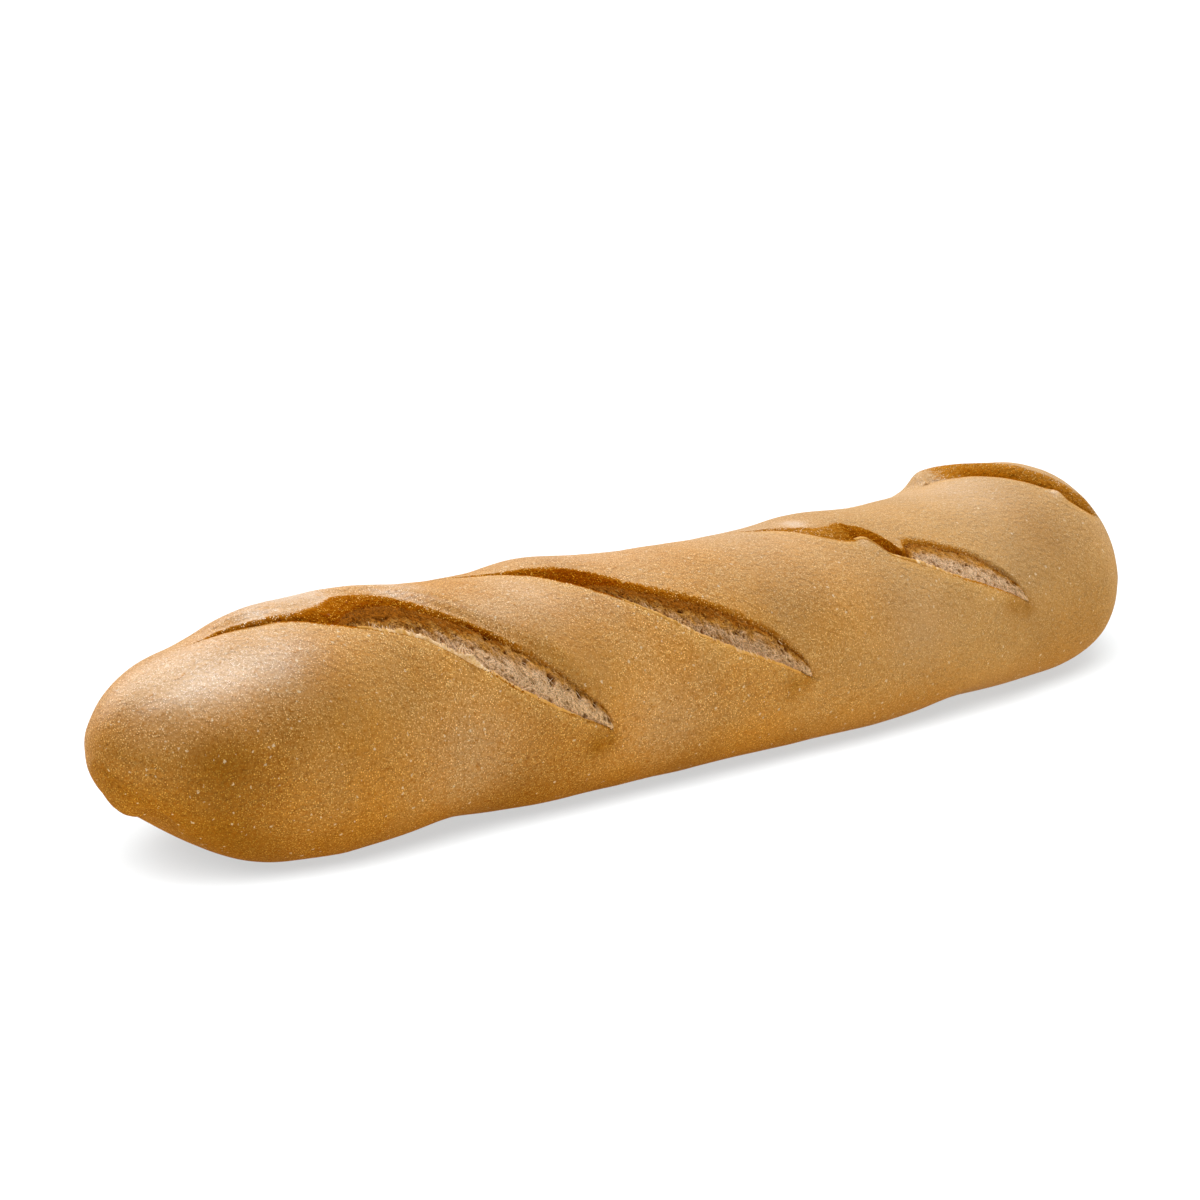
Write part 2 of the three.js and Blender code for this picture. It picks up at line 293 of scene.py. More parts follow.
def through(points, x, end_slope=0.0):
    """A smooth curve through [x, value] points, straight beyond its ends."""
    keys = np.array(points, float)
    kx = keys[:, 0]
    kv = keys[:, 1]
    rise = np.diff(kv) / np.diff(kx)
    slope = np.full(len(kx), float(end_slope))
    for j in range(1, len(kx) - 1):
        before = rise[j - 1]
        after = rise[j]
        slope[j] = 0.0 if before * after <= 0 else 2.0 * before * after / (before + after)
    x = np.asarray(x, float)
    inside = np.clip(x, kx[0], kx[-1])
    i = np.clip(np.searchsorted(kx, inside, side="right") - 1, 0, len(kx) - 2)
    span = kx[i + 1] - kx[i]
    t = (inside - kx[i]) / span
    value = (kv[i] * (1 + 2 * t) * (1 - t) ** 2 + slope[i] * span * t * (1 - t) ** 2
             + kv[i + 1] * t * t * (3 - 2 * t) + slope[i + 1] * span * t * t * (t - 1))
    return value + (x - inside) * end_slope


def wander(points, size):
    """Smooth random heights from about -1 to 1 that change over this size, at each point."""
    scaled = (points / np.asarray(size)).reshape(-1, 3)
    return np.array([noise.noise(p) for p in scaled.tolist()]).reshape(points.shape[:-1])


def bubbles(points, size):
    """At each point, how near its bubble's middle and wall are, and a number for the bubble."""
    scaled = (points / np.asarray(size)).reshape(-1, 3)
    middle = np.zeros(len(scaled))
    wall = np.zeros(len(scaled))
    number = np.zeros(len(scaled))
    for i, p in enumerate(scaled.tolist()):
        away, centres = noise.voronoi(p)
        middle[i] = away[0]
        wall[i] = away[1] - away[0]
        number[i] = centres[0][0] * 12.9898 + centres[0][1] * 78.233
    number = np.abs(np.sin(number) * 43758.5453) % 1.0
    shape = points.shape[:-1]
    return middle.reshape(shape), wall.reshape(shape), number.reshape(shape)


def section(x):
    """The plain loaf's half width, reach above and below its waist, and the waist's middle."""
    u = 2.0 * x / LENGTH
    from_near = np.clip((x + LENGTH / 2) / NEAR_NOSE, 0, 1)
    from_far = np.clip((LENGTH / 2 - x) / FAR_NOSE, 0, 1)
    near_cap = np.sqrt(1 - (1 - from_near) ** NEAR_POWER)
    far_cap = np.sqrt(1 - (1 - from_far) ** FAR_POWER)
    cap = near_cap * far_cap
    height = HEIGHT * (1 + HEIGHT_SLOPE * u + HEIGHT_CROWN * u * u + HEIGHT_TWIST * u ** 3)
    tips = (NEAR_TIP - WAIST) * (1 - near_cap) + (FAR_TIP - WAIST) * (1 - far_cap)
    waist = height * (WAIST + tips)
    lift = (NEAR_LIFT * np.clip((-u - NEAR_LIFT_FROM) / (1 - NEAR_LIFT_FROM), 0, 1) ** 2
            + FAR_LIFT * np.clip((u - FAR_LIFT_FROM) / (1 - FAR_LIFT_FROM), 0, 1) ** 2)
    half = WIDTH / 2 * (1 + WIDTH_SLOPE * u) * cap
    return half, (height - waist) * cap, waist * cap, SPINE_BOW * u * u + SPINE_SWEEP * u ** 3, \
        waist + lift


def round_power(value, power):
    return np.sign(value) * np.abs(value) ** (2.0 / power)


def plain_point(x, angle):
    """Points of the plain loaf, at x and an angle round it in degrees."""
    half, above, below, middle, waist = section(x)
    turn = np.radians(angle)
    up = np.cos(turn)
    power = np.where(up >= 0, CROWN_POWER, SOLE_POWER)
    reach = np.where(up >= 0, above, below)
    y = middle - half * round_power(np.sin(turn), power)
    z = waist + reach * round_power(up, power)
    return np.stack([x + 0 * angle, y, z], -1)


def outward(x, angle):
    limit = LENGTH / 2 - 1e-4
    along = (plain_point(np.clip(x + 0.5, -limit, limit), angle)
             - plain_point(np.clip(x - 0.5, -limit, limit), angle))
    round_it = plain_point(x, angle + 1.0) - plain_point(x, angle - 1.0)
    out = np.cross(round_it, along)
    return out / np.maximum(np.linalg.norm(out, axis=-1, keepdims=True), 1e-9)


def mm_per_degree(x):
    half, above, below, _, _ = section(x)
    return np.radians(np.maximum((half + (above + below) / 2) / 2, 1.0))


def edge_sway(x, row):
    """How far a score's torn edge wanders at x, in degrees. Each edge has its own row."""
    line = np.stack([x, 0 * x + row + 0.4, 0 * x + 0.3], -1)
    sway = 0 * x
    for size, far in RAGGED:
        sway = sway + far * wander(line, (size, 1, 1))
    return sway / mm_per_degree(x)


def score_at(score, x):
    """All of a score's numbers at x, with how far it is there at all as "alive"."""
    start = score["lip"][0][0]
    end = score["lip"][-1][0]
    along = (x - start) / (end - start)
    alive = smooth(along, *RELIEF_COMES) * (1 - smooth(along, *RELIEF_GOES))
    gap = np.maximum(through(score["gap"], np.clip(x, score["gap"][0][0], score["gap"][-1][0])), 0)
    opened = smooth(along, *OPENS)
    lip_sway = edge_sway(x, start) * alive
    rim_sway = edge_sway(x, start + 3) * alive
    gap = gap + (lip_sway + rim_sway) * np.clip(gap / RAGGED_GAP, 0, 1) * RAGGED_SHARE
    return {
        "angle": through(score["lip"], x, TWIST) + lip_sway,
        "gap": gap,
        "rise": (score["rise"][0] * (1 - opened) + score["rise"][1] * opened) * alive,
        "lip_rise": score["lip_rise"] * smooth(along, *LIP_COMES) * alive,
        "depth": score["depth"] * np.clip(gap / FULL_GAP, 0, 1),
        "rim": score.get("rim", RIM_SHARE),
        "shade_deepens": score.get("shade_deepens", SHADE_DEEPENS),
        "foot": np.clip(through(score["foot"], x), 0, 1),
        "brown": through(score["brown"], x) * smooth(along, *BROWN_COMES)
                 * (1 - smooth(along, *BROWN_GOES)),
        "crumb": through(score.get("crumb", [[0, 0], [1, 0]]), x),
        "reach": through(score.get("reach", [[0, 1000], [1, 1000]]), x),
        "alive": alive,
    }


def band_height(at, gap_mm, below_rim):
    """Height of the browned band, and of the hollow beyond its foot, this far from the rim."""
    width = np.maximum(at["foot"] * gap_mm, 0.4)
    fall = np.minimum(at["depth"], BAND_FALL + (SLIT_FALL - BAND_FALL) * smooth(at["foot"], 0.6, 1))
    share = np.clip(below_rim / width, 0, 1)
    hollow = smooth(below_rim, width - 0.3, width + 2.5)
    rim = at["rim"] * at["rise"]
    stands = rim - RIM_SHARE * at["rise"]
    return rim - (fall + stands) * share ** BAND_POWER - (at["depth"] - fall) * hollow


def nearness(spot_x, spot_angle, reach, x, angle, scale):
    """1 at a spot on the loaf, falling to nothing over its reach."""
    turn = np.mod(angle - spot_angle + 180, 360) - 180
    away = np.hypot(x - spot_x, turn * scale)
    return np.exp(-((away / reach) ** 2))


def hump_height(humps, x, angle, scale):
    """The height of the lumps or dimples at each point."""
    total = np.zeros(np.broadcast(x, angle).shape)
    for hump_x, hump_angle, reach, height in humps:
        total += height * nearness(hump_x, hump_angle, reach, x, angle, scale)
    return total


def marks(spots, x, angle, scale):
    """The marks' strength at each point, from 0 to 1."""
    clear = np.ones(np.broadcast(x, angle).shape)
    for spot_x, spot_angle, reach, strength in spots:
        clear *= 1 - strength * nearness(spot_x, spot_angle, reach, x, angle, scale)
    return 1 - clear


def on_loaf(x, angle, height):
    """Points at this height over the lumpy loaf."""
    lump = hump_height(LUMPS, x, angle, mm_per_degree(x))
    return plain_point(x, angle) + outward(x, angle) * (height + lump)[..., None]


def into_frame(points):
    """From the sizes' own place to the part's frame, in metres."""
    placed = points.copy()
    placed[..., 1] -= CENTRE_Y
    placed[..., 2] = np.maximum(placed[..., 2] - SOLE_SINK, 0)
    return placed * MM


# ---- Pieces ----
def mesh_points(piece):
    points = np.zeros(len(piece.data.vertices) * 3)
    piece.data.vertices.foreach_get("co", points)
    return points.reshape(-1, 3)


def paint(piece, name, values):
    """Keeps one number for each point of the piece, for its material."""
    layer = piece.data.attributes.new(name, "FLOAT", "POINT")
    layer.data.foreach_set("value", np.ascontiguousarray(values, dtype=np.float32).reshape(-1))


def shape_piece(piece, points, paints, row, column):
    """Moves each of the piece's points to its place in the grid of points, and paints it."""
    piece.data.vertices.foreach_set("co", points[row, column].reshape(-1))
    piece.data.update()
    for name, values in paints.items():
        paint(piece, name, values[row, column])


def finish_piece(piece, name, material):
    piece.name = name
    piece.data.name = name
    piece.data.materials.clear()
    piece.data.materials.append(material)
    piece.data.shade_smooth()
    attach(piece, "root")
    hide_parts("loaf")


def sector_lines(score, following, next_angle, scale):
    """The lines from a score's lip, over its gap and the crust beyond, to the next score.

    Each has its angle, its height over the plain loaf, how far into the gap from the rim it
    is, and, on the crust, how far from the next lip.
    """
    gap = score["gap"]
    spread = np.maximum(gap, LEAST_GAP)
    spread_mm = spread * scale
    gap_mm = np.maximum(gap * scale, 1e-3)
    crust = score["angle"] - spread - next_angle
    openness = np.clip(gap / FULL_GAP, 0, 1)
    far = np.full_like(gap, FAR_AWAY)
    bottom = band_height(score, gap_mm, gap_mm)
    lines = [(score["angle"], score["lip_rise"], gap_mm, far)]
    for step in range(1, WALL_STEPS + 1):
        share = step / WALL_STEPS
        back = UNDERCUT * openness * share
        lines.append((score["angle"] + back / scale,
                      score["lip_rise"] * (1 - share) + bottom * share, gap_mm + back, far))
    for step in range(1, FLOOR_STEPS + BAND_STEPS + 1):
        if step <= FLOOR_STEPS:
            share = 0.5 * step / FLOOR_STEPS
        else:
            share = 0.5 + 0.5 * (step - FLOOR_STEPS) / BAND_STEPS
        into = share * spread_mm
        height = band_height(score, gap_mm, np.maximum(gap_mm - into, 0))
        lines.append((score["angle"] - share * spread, height, gap_mm - into, far))
    for step in range(1, CRUST_STEPS + 1):
        t = step / (CRUST_STEPS + 1)
        share = (1 - EDGE_CROWDING) * t + EDGE_CROWDING * (t * t * (3 - 2 * t))
        from_rim = crust * share * scale + (spread_mm - gap_mm) * (gap < LEAST_GAP)
        to_lip = crust * (1 - share) * scale
        shoulder = 1 - (1 - score["rim"]) * np.exp(-((from_rim / SHOULDER) ** 2))
        fall = np.exp(-((np.maximum(from_rim, 0) / score["reach"]) ** 2))
        height = (score["rise"] * shoulder * fall * (1 - share) ** RISE_FADE
                  + following["lip_rise"] * np.exp(-to_lip / LIP_REACH) * share)
        lines.append((score["angle"] - spread - crust * share, height, -from_rim, to_lip))
    return lines


def crust_lines(here, scale):
    """Every line round the loaf, with each of its numbers by ring, and whose score it is."""
    lines = []
    for k, score in enumerate(here):
        following = here[(k + 1) % len(here)]
        next_angle = following["angle"] - (360 if k == len(here) - 1 else 0)
        lines += sector_lines(score, following, next_angle, scale)
    owner = np.arange(len(lines)) * len(here) // len(lines)
    return [np.stack(numbers, 1) for numbers in zip(*lines)], owner


def crust_paint(x, angle, into_gap, from_lip, owner, here, scale):
    """The numbers that the crust's material reads."""
    brown = np.stack([here[k]["brown"] for k in owner], 1)
    gap = np.stack([here[k]["gap"] for k in owner], 1) * scale
    alive = np.stack([here[k]["alive"] for k in (owner + 1) % len(SCORES)], 1)
    shade_deepens = np.array([here[k]["shade_deepens"] for k in owner])
    band = brown * smooth(into_gap, -0.8, 1.0)
    # Painted shade: the band grows darker towards its foot, deep in the hollow.
    band = band * (1 - shade_deepens + 2 * shade_deepens * np.clip(into_gap / (gap + 1), 0, 1))
    dull = smooth(x, *DULL_FROM)
    # The underside: toasted crust, and painted shade where it faces down.
    under_toast_and_shade = smooth(np.abs(np.mod(angle + 180, 360) - 180), *UNDERSIDE)
    under_toast_and_shade = under_toast_and_shade * (UNDER_TOAST_AND_SHADE - UNDER_TOAST_AND_SHADE / 2 * dull)
    return {
        "band": band,
        "gold": alive * np.exp(-np.maximum(from_lip, 0) / GOLD_REACH) * (into_gap < 0),
        # toasted crust and painted shade
        "toast_and_shade": 1 - (1 - marks(TOASTED_AND_SHADED_SPOTS, x, angle, scale)) * (1 - under_toast_and_shade),
        # paler crust and painted highlights
        "pale_and_highlight": marks(PALE_AND_HIGHLIGHT_SPOTS, x, angle, scale),
        "dim": marks(DIM_SPOTS, x, angle, scale),
        "dull": dull,
        "flour": marks(FLOURED, x, angle, scale),
    }


def crust_shape():
    """The crust's points and its paint, by ring along the loaf and line round it."""
    share = np.arange(RINGS + 1) / RINGS
    x = LENGTH / 2 * (END_CROWDING * -np.cos(np.pi * share)
                      + (1 - END_CROWDING) * (2 * share - 1))
    here = [score_at(score, x) for score in SCORES]
    scale = mm_per_degree(x)
    (angle, height, into_gap, from_lip), owner = crust_lines(here, scale)
    scale = scale[:, None]
    grid_x = x[:, None] + 0 * angle
    fade = (smooth(share, 0, 0.05) * (1 - smooth(share, 0.96, 1)))[:, None]
    lump = hump_height(LUMPS + DIMPLES, grid_x, angle, scale)
    plain = plain_point(grid_x, angle)
    for size, high in WAVES:
        lump = lump + high * wander(plain, (size * WAVE_STRETCH, size, size))
    points = into_frame(plain + outward(grid_x, angle) * (height * fade + lump)[..., None])
    return points, crust_paint(grid_x, angle, into_gap, from_lip, owner, here, scale)


def make_crust(material):
    points, paints = crust_shape()
    lines = points.shape[1]
    bpy.ops.mesh.primitive_uv_sphere_add(segments=lines, ring_count=RINGS, radius=1)
    piece = bpy.context.object
    start = mesh_points(piece)
    ring = np.rint(np.arccos(np.clip(start[:, 2], -1, 1)) * RINGS / np.pi).astype(int)
    line = np.rint(np.arctan2(start[:, 1], start[:, 0]) * lines / (2 * np.pi)).astype(int) % lines
    line[(ring == 0) | (ring == RINGS)] = 0
    shape_piece(piece, points, paints, ring, line)
    bpy.ops.object.mode_set(mode="EDIT")
    bpy.ops.mesh.select_all(action="SELECT")
    bpy.ops.mesh.remove_doubles(threshold=0.02 * MM)
    bpy.ops.object.mode_set(mode="OBJECT")
    finish_piece(piece, "crust", material)


def edge_run(score, first, last, steps):
    """Steps in x along a score's lip, and how far along the lip each is."""
    x = np.linspace(first, last, steps)
    edge = plain_point(x, score_at(score, x)["angle"])
    return x, np.concatenate([[0], np.cumsum(np.linalg.norm(np.diff(edge, axis=0), axis=1))])


def opening(score, x):
    """The score's numbers at x, the millimetres to a degree, and its gap in millimetres."""
    at = score_at(score, x)
    scale = mm_per_degree(x)
    return at, scale, np.maximum(at["gap"] * scale, 0.01)


def crumb_ground(at, gap, across):
    """The crumb's smooth height this far in from the lip, and its share of the way across."""
    top = gap * (1 - at["foot"])
    lip_height = at["lip_rise"] - CRUMB_DROP - BROWN_DROP * at["crumb"]
    foot_height = band_height(at, gap, gap - top) - 0.1
    w = np.clip(across / np.maximum(top, 0.5), 0, 1)
    ground = lip_height + (foot_height - lip_height) * w + CRUMB_BULGE * np.sin(np.pi * w)
    return ground + np.minimum(across, 0) * 1.2 - np.maximum(across - top, 0) * 0.9, w


def crumb_web(spot):
    """The crumb's web: how far it stands up, its small pores and its fine roughness."""
    drift = wander(spot, (6.0, 6.0, 1.0))
    bent = np.stack([spot[..., 0] + spot[..., 1] * drift * 0.9 + 0.3 * wander(spot, (1.1, 1.1, 1)),
                     spot[..., 1] + 0.3 * wander(spot + 50, (1.1, 1.1, 1)), spot[..., 2]], -1)
    _, thin_wall, chance = bubbles(bent, WEB_SIZE)
    web = 1 - smooth(thin_wall, 0.02, 0.42)
    strand = smooth(1 - np.abs(wander(bent + 90, STRAND_SIZE)) * 5.0, 0, 1)
    middle, _, number = bubbles(bent, SMALL_PORE_SIZE)
    pore = smooth(0.36 - middle, 0, 0.2) * smooth(number, 0.6, 0.75)
    stands = np.maximum(web * (0.45 + 0.55 * chance), strand * 0.9)
    return stands, pore, wander(spot + 20, (0.34, 0.34, 1))


def large_pores(x, angle, scale):
    """How far inside a large pore each point is, and how deep it lies there."""
    hole = np.zeros(x.shape)
    sunk = np.zeros(x.shape)
    for pore_x, pore_angle, long_reach, cross_reach, depth in PORES:
        right = (x - pore_x) / long_reach
        over = (angle - pore_angle) * scale / cross_reach
        inside = 1 - smooth(np.hypot(right, over), 0.55, 1.0)
        hole = np.maximum(hole, np.minimum(depth, 1.0) * inside)
        sunk = np.maximum(sunk, depth * inside)
    return hole, sunk


def crumb_shape(k):
    """The crumb's points and paint, by row along the score and column across, and inwards."""
    score = SCORES[k]
    fine, run = edge_run(score, score["foot"][0][0] - 1.0, score["gap"][-1][0] + 0.2, 600)
    along = np.linspace(0, run[-1], int(run[-1] / CRUMB_CELL) + 1)[:, None]
    x = np.interp(along, run, fine)
    at, scale, gap = opening(score, x)
    top = gap * (1 - at["foot"])
    columns = int((gap.max() + CRUMB_TUCK * 2) / CRUMB_CELL) + 1
    across = -CRUMB_TUCK + (top + 2 * CRUMB_TUCK) * np.linspace(0, 1, columns)
    base, w = crumb_ground(at, gap, across)
    ends = smooth(along, 0, 2) * (1 - smooth(along, run[-1] - 1.2, run[-1]))
    closing = smooth(along, run[-1] - 6, run[-1] - 1.8)
    base = base + CLOSING_RISE * closing - END_DROP * (1 - ends)

    spot = np.stack([along + 0 * across, across, 0 * across + 37.0 * k], -1)
    stands, pore, rough = crumb_web(spot)
    angle = at["angle"] - across / scale
    grid_x = x + 0 * angle
    hole, sunk = large_pores(grid_x, angle, scale)
    sunk = np.maximum(sunk, SMALL_PORE_DEPTH * pore)
    fray = smooth(across, top - 1.8, top + 0.2) * (0.2 + 1.2 * wander(spot + 33, (0.8, 0.8, 1)))
    relief = (WEB_HEIGHT[0] + WEB_HEIGHT[1] * at["crumb"]) * stands
    height = base + relief + CRUMB_ROUGH * rough - sunk - np.clip(fray, 0, FRAYED)

    # Painted shade in the pores and between the web's strands.
    contrast = WEB_CONTRAST[0] + WEB_CONTRAST[1] * at["crumb"]
    deep_shade = np.clip(np.maximum(pore, hole) + contrast * (1 - stands) + 0.2 * rough - 0.1, 0, 1)
    blotch = 0.35 * wander(spot + 7, (2.5, 2.5, 1)) + 0.2 * wander(spot + 9, (0.9, 0.9, 1))
    tint = np.clip(at["crumb"] + 0.95 * (smooth(w, 0.2, 0.95) - 0.3) + blotch, 0, 1.2)
    inward = -outward(x, at["angle"] - at["gap"] / 2).mean((0, 1))
    return (into_frame(on_loaf(grid_x, angle, height)), {"deep_shade": deep_shade, "tint": tint},
            inward / np.linalg.norm(inward))


def close_sheet(piece, inward):
    """Makes an open sheet a closed body, by drawing its border inwards and capping it."""
    bpy.ops.object.mode_set(mode="EDIT")
    bpy.ops.mesh.select_mode(type="EDGE")
    bpy.ops.mesh.select_all(action="DESELECT")
    bpy.ops.mesh.select_non_manifold()
    bpy.ops.mesh.extrude_region_move(TRANSFORM_OT_translate={"value": tuple(inward)})
    bpy.ops.mesh.edge_face_add()
    bpy.ops.mesh.select_all(action="SELECT")
    bpy.ops.mesh.normals_make_consistent(inside=False)
    bpy.ops.object.mode_set(mode="OBJECT")


def make_crumb(k, material):
    points, paints, inward = crumb_shape(k)
    rows, columns = points.shape[:2]
    bpy.ops.mesh.primitive_grid_add(x_subdivisions=columns - 1, y_subdivisions=rows - 1, size=2)
    piece = bpy.context.object
    start = mesh_points(piece)
    column = columns - 1 - np.rint((start[:, 0] + 1) / 2 * (columns - 1)).astype(int)
    row = np.rint((start[:, 1] + 1) / 2 * (rows - 1)).astype(int)
    shape_piece(piece, points, paints, row, column)
    close_sheet(piece, inward * CRUMB_DEPTH * MM)
    finish_piece(piece, f"crumb_{k + 1}", material)


def add_tubes(name, points, golden, material):
    """Closed tubes from points by tube, section along it and corner round it, with colours."""
    count, sections, sides = points.shape[:3]
    faces = []
    for tube in range(count):
        first = tube * sections * sides
        for section_start in range(first, first + (sections - 1) * sides, sides):
            for i in range(sides):
                following = (i + 1) % sides
                faces.append((section_start + i, section_start + following,
                              section_start + sides + following, section_start + sides + i))
        faces.append(tuple(range(first, first + sides)))
        faces.append(tuple(range(first + (sections - 1) * sides, first + sections * sides)))
    mesh = bpy.data.meshes.new(name)
    mesh.from_pydata(into_frame(points).reshape(-1, 3).tolist(), [], faces)
    piece = bpy.data.objects.new(name, mesh)
    bpy.context.collection.objects.link(piece)
    bpy.context.view_layer.objects.active = piece
    bpy.ops.object.mode_set(mode="EDIT")
    bpy.ops.mesh.select_all(action="SELECT")
    bpy.ops.mesh.normals_make_consistent(inside=False)
    bpy.ops.object.mode_set(mode="OBJECT")
    paint(piece, "golden", np.repeat(golden, count * sections * sides // len(golden)))
    finish_piece(piece, name, material)


def on_crumb(score, x, across):
    """Points just over the crumb, this far in from the score's lip."""
    at, scale, gap = opening(score, x)
    ground, _ = crumb_ground(at, gap, across)
    return on_loaf(x, at["angle"] - across / scale, ground + THREAD_LIFT)


def crumb_threads(random):
    """Threads over each bed of crumb: their ends, thickness, bow and colour."""
    threads = []
    for score, (first, last, count) in zip(SCORES, THREADS):
        x = random.uniform(first, last, count)
        at, _, gap = opening(score, x)
        top = gap * (1 - at["foot"])
        across = top * random.uniform(0.02, 0.95, count)
        long = random.uniform(0.7, 2.2, count)
        lean = random.normal(0, 0.75, count) + np.pi / 2
        to_x = x + long * np.cos(lean) * 0.7
        to_across = np.clip(across + long * np.sin(lean), 0, top)
        thickness = random.uniform(0.035, 0.075, count)
        bow = random.uniform(0.1, 0.45, count)
        golden = at["crumb"] + (across + to_across) / (2 * top) - random.uniform(0.1, 0.7, count)
        threads.append((on_crumb(score, x, across), on_crumb(score, to_x, to_across),
                        thickness, bow, golden))
    return threads


def lip_hairs(random):
    """Short threads that stand out from the torn lips."""
    hairs = []
    for score, (first, last, count) in zip(SCORES, LIP_HAIRS):
        x = random.uniform(first, last, count)
        at, scale, _ = opening(score, x)
        long = random.uniform(0.35, 1.3, count)
        to_x = x + random.normal(0, 0.6, count)
        high = random.uniform(0.1, 0.9, count)
        thickness = random.uniform(0.05, 0.1, count)
        bow = random.uniform(0.0, 0.25, count)
        golden = random.uniform(0, 0.5, count)
        hairs.append((on_loaf(x, at["angle"] + 0.3 / scale, at["lip_rise"] + THREAD_LIFT),
                      on_loaf(to_x, at["angle"] - long / scale, at["lip_rise"] + high),
                      thickness, bow, golden))
    return hairs


def bridges():
    """The few thick threads that cross the pores."""
    built = []
    for start, end, thick in BRIDGES:
        ends = [on_loaf(*np.array(place)[:, None]) for place in (start, end)]
        built.append((*ends, np.array([thick]), np.array([thick]), np.array([BRIDGE_GOLD])))
    return built


def bowed_tubes(start, end, thick, lift):
    """Thin tubes from start to end, bowed up and outwards, and thinner at their ends."""
    start = start[:, None, None]
    end = end[:, None, None]
    share = np.linspace(0, 1, THREAD_SECTIONS)[None, :, None]
    turn = np.linspace(0, 2 * np.pi, THREAD_SIDES, endpoint=False)[None, None, :]
    along = end - start
    along = along / np.linalg.norm(along, axis=-1, keepdims=True)
    side = np.cross(along, (0.3, -0.6, 0.74))
    side = side / np.linalg.norm(side, axis=-1, keepdims=True)
    up = np.cross(side, along)
    bow = (lift[:, None, None] * np.sin(np.pi * share))[..., None]
    taper = 0.35 + 0.65 * np.sin(np.pi * np.clip(share, 0.08, 0.92))
    radius = (thick[:, None, None] * taper)[..., None]
    middle = start + (end - start) * share[..., None] + (0.0, -0.55, 0.8) * bow
    return middle + radius * (side * np.cos(turn)[..., None] + up * np.sin(turn)[..., None])


def make_threads(material):
    """Torn threads of crumb: thin bowed tubes over the crumb and across its pores."""
    random = np.random.default_rng(5)
    threads = crumb_threads(random) + lip_hairs(random) + bridges()
    start, end, thick, lift, golden = [np.concatenate(values) for values in zip(*threads)]
    add_tubes("threads", bowed_tubes(start, end, thick, lift), np.clip(golden, 0, 1.3), material)


def make_torn_lip(k, material):
    """A ragged rim of torn crumb along a score's lip: a closed ribbon."""
    fine, run = edge_run(SCORES[k], RAGS[k][0][0], RAGS[k][-1][0], 500)
    along = np.arange(0, run[-1], RAG_STEP)
    x = np.interp(along, run, fine)
    at, scale, _ = opening(SCORES[k], x)
    rag = through(RAGS[k], x)
    line = np.stack([along, 0 * along + 3.0 * k, 0 * along], -1)
    slow = wander(line, (3.0, 1, 1))
    quick = wander(line + 40, (0.9, 1, 1))
    tooth = np.clip(0.35 + 2.2 * wander(line + 80, (0.5, 1, 1)) + 0.6 * slow, 0, 1.8)
    high = rag * np.clip(0.3 + 0.4 * slow + 0.6 * quick, 0.02, 0.9)
    for peak_x, peak_reach, peak_height in LIP_PEAKS[k]:
        high = high + peak_height * np.exp(-(((x - peak_x) / peak_reach) ** 2))
    reach = 0.2 + rag * 0.75 * tooth
    profile = [(-0.55 - 0.3 * rag, -0.25), (-0.4 - 0.3 * rag, 0.02 + 0.2 * high),
               (-0.1 + 0 * rag, 0.06 + high), (reach * 0.7, 0.02 + 0.8 * high),
               (reach, -0.1 + 0.2 * high), (reach * 0.6, -0.4), (0 * rag, -0.7)]
    points = np.stack([on_loaf(x, at["angle"] - across / scale, at["lip_rise"] + up)
                       for across, up in profile], 1)
    golden = np.clip(1.15 - 1.05 * rag + 0.6 * slow + 0.5 * quick, 0, 1)
    add_tubes(f"torn_lip_{k + 1}", points[None], golden, material)


# ---- Materials ----
def put(tree, kind, values=None, **settings):
    """Adds a shader node of this kind with its settings, and its inputs' values or links."""
    node = tree.nodes.new("ShaderNode" + kind)
    for name, value in settings.items():
        setattr(node, name, value)
    for name, value in (values or {}).items():
        socket = node.inputs[name]
        if isinstance(value, bpy.types.NodeSocket):
            tree.links.new(value, socket)
        else:
            socket.default_value = value
    return node


def new_material(name):
    material = bpy.data.materials.new(name)
    material.use_nodes = True
    material.node_tree.nodes.clear()
    return material, material.node_tree


def add_surface(tree, values):
    shader = put(tree, "BsdfPrincipled", values)
    put(tree, "OutputMaterial", {"Surface": shader.outputs[0]})


def painted(tree, name):
    """A number that was painted on the piece."""
    return put(tree, "Attribute", attribute_name=name).outputs["Fac"]


def clouds(tree, place, scale, detail, roughness=0.5):
    """Soft noise about 0.5."""
    return put(tree, "TexNoise", {"Vector": place, "Scale": scale, "Detail": detail,
                                            "Roughness": roughness}).outputs["Fac"]


def mix(tree, amount, first, second, blend="MIX"):
    values = {0: amount, 6: first, 7: second}
    return put(tree, "Mix", values, data_type="RGBA", blend_type=blend).outputs[2]


def ramp(tree, value, low, high):
    """0 up to low, 1 from high on, and a smooth climb between."""
    values = {"Value": value, "From Min": low, "From Max": high}
    return put(tree, "MapRange", values, interpolation_type="SMOOTHSTEP").outputs["Result"]


def math_node(tree, operation, first, second, third=0.0):
    values = {0: first, 1: second, 2: third}
    return put(tree, "Math", values, operation=operation).outputs[0]


def minus(tree, first, second):
    return math_node(tree, "SUBTRACT", first, second)


def times(tree, first, second, plus=0.0):
    return math_node(tree, "MULTIPLY_ADD", first, second, plus)


def new_group(name, inputs, outputs):
    """A group of nodes that takes a place and some numbers, and gives numbers."""
    group = bpy.data.node_groups.new(name, "ShaderNodeTree")
    group.interface.new_socket(name="Place", in_out="INPUT", socket_type="NodeSocketVector")
    for label in inputs:
        group.interface.new_socket(name=label, in_out="INPUT", socket_type="NodeSocketFloat")
    for label in outputs:
        group.interface.new_socket(name=label, in_out="OUTPUT", socket_type="NodeSocketFloat")
    return group, group.nodes.new("NodeGroupInput"), group.nodes.new("NodeGroupOutput")


